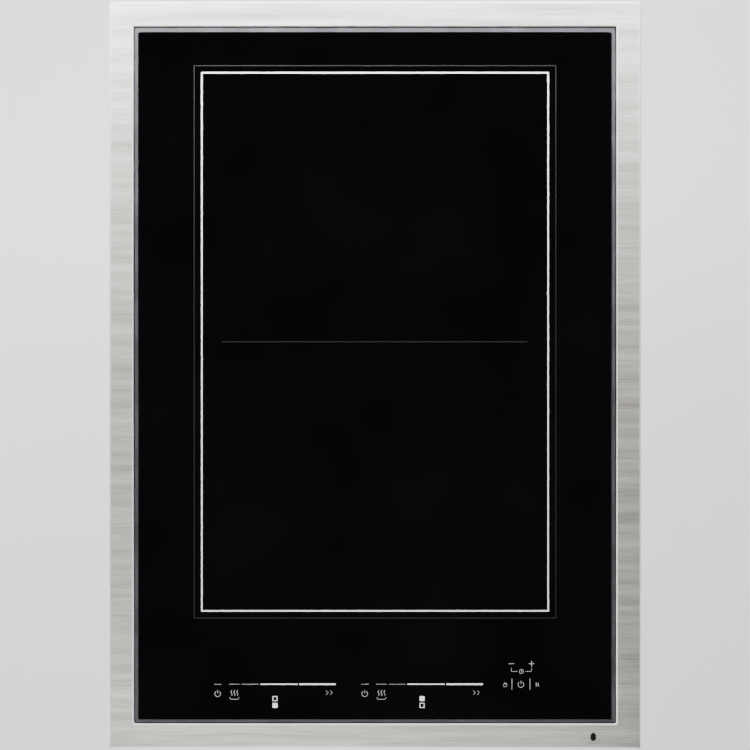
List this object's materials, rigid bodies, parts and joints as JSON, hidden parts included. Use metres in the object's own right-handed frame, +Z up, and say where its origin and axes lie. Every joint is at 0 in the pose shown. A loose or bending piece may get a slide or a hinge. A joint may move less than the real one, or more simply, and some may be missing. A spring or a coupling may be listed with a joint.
{
  "type": "induction cooktop",
  "caption": "Narrow built-in induction cooktop: black glass in a brushed steel trim frame, over a burner box with bridged coils, fan, electronics and worktop clamps.",
  "frame": {"origin": "centre of the bounding box's underside: the underside of the burner box, under the middle of the frame", "axes": "+X to the cook's right, +Y to the rear, so the touch controls are at the front, -Y; +Z up, out of the glass"},
  "size_m": [0.384, 0.539, 0.072],
  "materials": {
    "brushed_stainless": "brushed left to right",
    "black_glass": "polished black glass-ceramic",
    "grey_silicone": "tooled silicone",
    "black_foam": "closed-cell foam",
    "galvanised_steel": "galvanised sheet",
    "zinc_plated_steel": "zinc plated",
    "aluminium_sheet": "mill finish",
    "copper_litz": "enamelled litz wire",
    "black_nylon": "moulded",
    "white_nylon": "moulded",
    "mica": "pressed mica sheet",
    "ferrite": "sintered",
    "spring_steel": "drawn wire and turned steel",
    "ceramic_sensor": "fired",
    "green_laminate": "solder mask",
    "black_rubber": "moulded",
    "capacitor_case": "moulded case",
    "choke_winding": "enamelled wire on a ring core",
    "display_diffuser": "moulded",
    "grey_ribbon": "flat cable"
  },
  "bodies": {
    "housing": {"trim_frame": "brushed_stainless", "glass_top": "black_glass", "glass_sealant": "grey_silicone", "worktop_gasket": "black_foam", "burner_box": "galvanised_steel", "conduit_bushing": "black_nylon", "terminal_block": "white_nylon", "terminal_cover": "black_nylon", "coil_plate": "aluminium_sheet", "power_board": "green_laminate", "heat_sink": "aluminium_sheet", "dc_link_capacitor": "capacitor_case", "filter_board": "green_laminate", "filter_choke": "choke_winding", "fan_housing": "black_nylon", "fan_cover": "black_nylon", "fan_motor": "spring_steel", "touch_carrier": "black_nylon", "touch_board": "green_laminate", "display_module": "display_diffuser", "ribbon_cable": "grey_ribbon", "frame_bracket_front_left": "galvanised_steel", "box_screw_front_left": "zinc_plated_steel", "frame_bracket_front_right": "galvanised_steel", "box_screw_front_right": "zinc_plated_steel", "coil_spring_front_1": "spring_steel", "coil_spring_front_2": "spring_steel", "coil_spring_front_3": "spring_steel", "frame_bracket_rear_left": "galvanised_steel", "box_screw_rear_left": "zinc_plated_steel", "frame_bracket_rear_right": "galvanised_steel", "box_screw_rear_right": "zinc_plated_steel", "coil_spring_rear_1": "spring_steel", "coil_spring_rear_2": "spring_steel", "coil_spring_rear_3": "spring_steel", "clamp_bracket_left": "galvanised_steel", "clamp_bracket_screw_left": "zinc_plated_steel", "clamp_bracket_right": "galvanised_steel", "clamp_bracket_screw_right": "zinc_plated_steel"},
    "fan_rotor": {"fan_impeller": "black_nylon"},
    "front_coil": {"coil_carrier_front": "black_nylon", "coil_winding_front": "copper_litz", "mica_sheet_front": "mica", "ferrite_bar_front_left": "ferrite", "ferrite_bar_front_right": "ferrite", "ferrite_bar_front_far": "ferrite", "ferrite_bar_front_near": "ferrite"},
    "front_sensor": {"temperature_sensor_front": "ceramic_sensor"},
    "rear_coil": {"coil_carrier_rear": "black_nylon", "coil_winding_rear": "copper_litz", "mica_sheet_rear": "mica", "ferrite_bar_rear_left": "ferrite", "ferrite_bar_rear_right": "ferrite", "ferrite_bar_rear_far": "ferrite", "ferrite_bar_rear_near": "ferrite"},
    "rear_sensor": {"temperature_sensor_rear": "ceramic_sensor"},
    "left_clamp_screw": {"clamp_screw_left": "zinc_plated_steel"},
    "left_clamp_pad": {"clamp_pad_left": "black_rubber"},
    "right_clamp_screw": {"clamp_screw_right": "zinc_plated_steel"},
    "right_clamp_pad": {"clamp_pad_right": "black_rubber"}
  },
  "joints": [
    {"name": "fan_spin", "type": "hinge", "parent": "housing", "child": "fan_rotor", "pos_m": [-0.104, 0.0605, 0.0233], "axis": [0, 0, 1], "continuous": true},
    {"name": "rear_coil_float", "type": "slide", "parent": "housing", "child": "rear_coil", "axis": [0, 0, 1], "range_m": [-0.004, 0], "stiffness_N_per_m": 4500, "springref_m": 0.003, "deforming": ["coil_spring_rear_1", "coil_spring_rear_2", "coil_spring_rear_3"]},
    {"name": "rear_sensor_float", "type": "slide", "parent": "rear_coil", "child": "rear_sensor", "axis": [0, 0, 1], "range_m": [-0.003, 0], "stiffness_N_per_m": 150, "springref_m": 0.002},
    {"name": "front_coil_float", "type": "slide", "parent": "housing", "child": "front_coil", "axis": [0, 0, 1], "range_m": [-0.004, 0], "stiffness_N_per_m": 4500, "springref_m": 0.003, "deforming": ["coil_spring_front_1", "coil_spring_front_2", "coil_spring_front_3"]},
    {"name": "front_sensor_float", "type": "slide", "parent": "front_coil", "child": "front_sensor", "axis": [0, 0, 1], "range_m": [-0.003, 0], "stiffness_N_per_m": 150, "springref_m": 0.002},
    {"name": "left_clamp_lift", "type": "slide", "parent": "housing", "child": "left_clamp_pad", "axis": [0, 0, 1], "range_m": [0, 0.015]},
    {"name": "left_clamp_turn", "type": "hinge", "parent": "left_clamp_pad", "child": "left_clamp_screw", "pos_m": [-0.1845, 0, 0.002], "axis": [0, 0, 1], "range_deg": [0, 6751]},
    {"name": "right_clamp_lift", "type": "slide", "parent": "housing", "child": "right_clamp_pad", "axis": [0, 0, 1], "range_m": [0, 0.015]},
    {"name": "right_clamp_turn", "type": "hinge", "parent": "right_clamp_pad", "child": "right_clamp_screw", "pos_m": [0.1845, 0, 0.002], "axis": [0, 0, 1], "range_deg": [0, 6751]}
  ],
  "couplings": [
    {"joint": "left_clamp_turn", "follows": "left_clamp_lift", "rad_per_m": 7854},
    {"joint": "right_clamp_turn", "follows": "right_clamp_lift", "rad_per_m": 7854}
  ]
}
